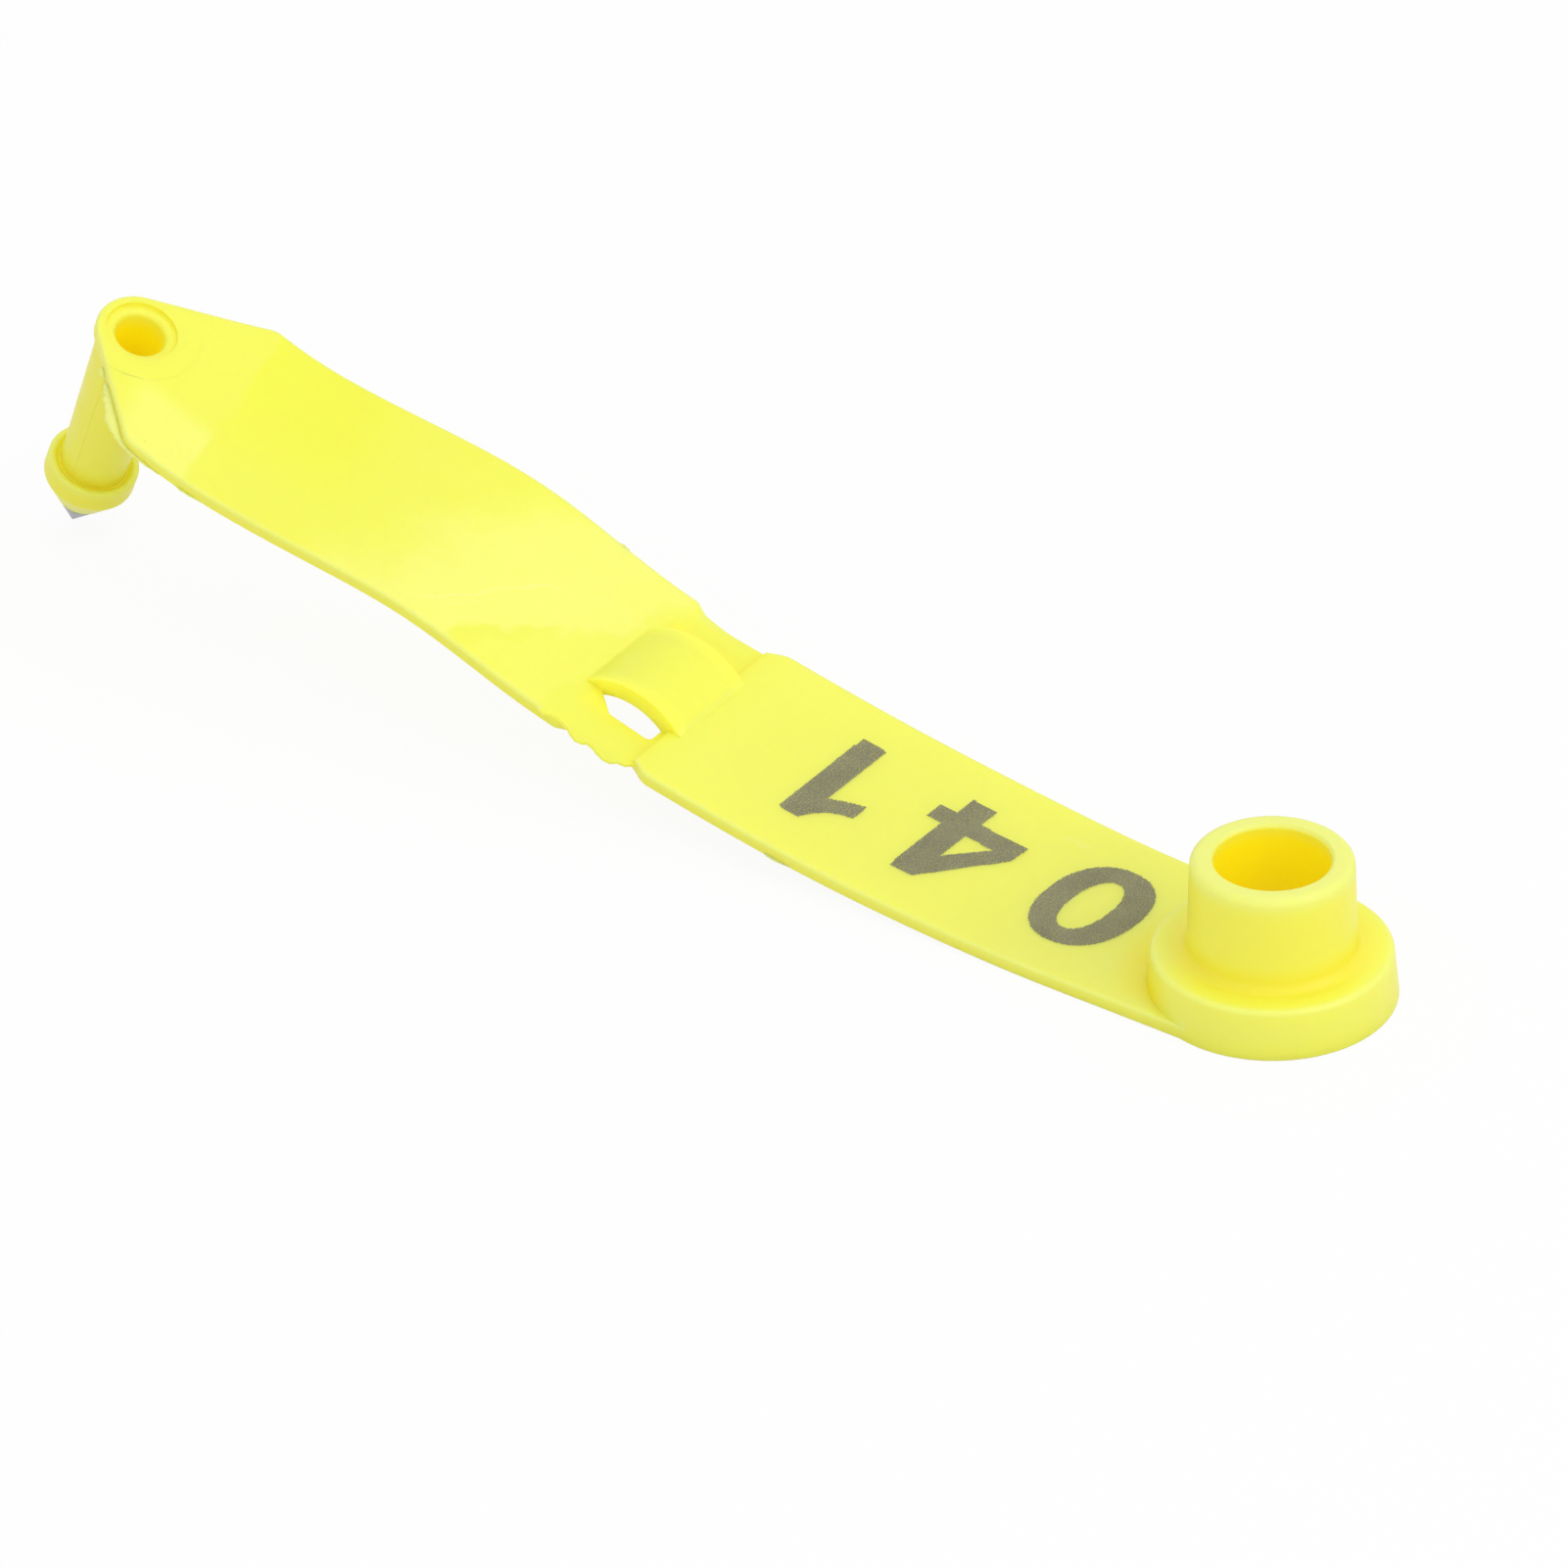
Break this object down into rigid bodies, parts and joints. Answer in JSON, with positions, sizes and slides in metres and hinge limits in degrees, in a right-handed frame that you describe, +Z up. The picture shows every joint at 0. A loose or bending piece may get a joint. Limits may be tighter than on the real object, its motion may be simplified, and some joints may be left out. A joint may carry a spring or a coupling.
{
  "type": "livestock ear tag",
  "caption": "One-piece folding ear tag: a yellow strap with a hollow piercing stud at one end, a snap socket at the other and an arch over the window of its fold.",
  "frame": {"origin": "centre of the bounding box at table level, which is the level of the socket's flat underside", "axes": "+X along the strap from the stud to the socket, +Y across the strap, +Z up along the socket's axis, out of its tube"},
  "size_m": [0.13, 0.02, 0.0235],
  "materials": {
    "yellow_plastic": "satin, slightly translucent",
    "point_steel": "turned"
  },
  "bodies": {
    "root": {"tag_moulding": "yellow_plastic", "piercing_point": "point_steel"}
  },
  "joints": []
}
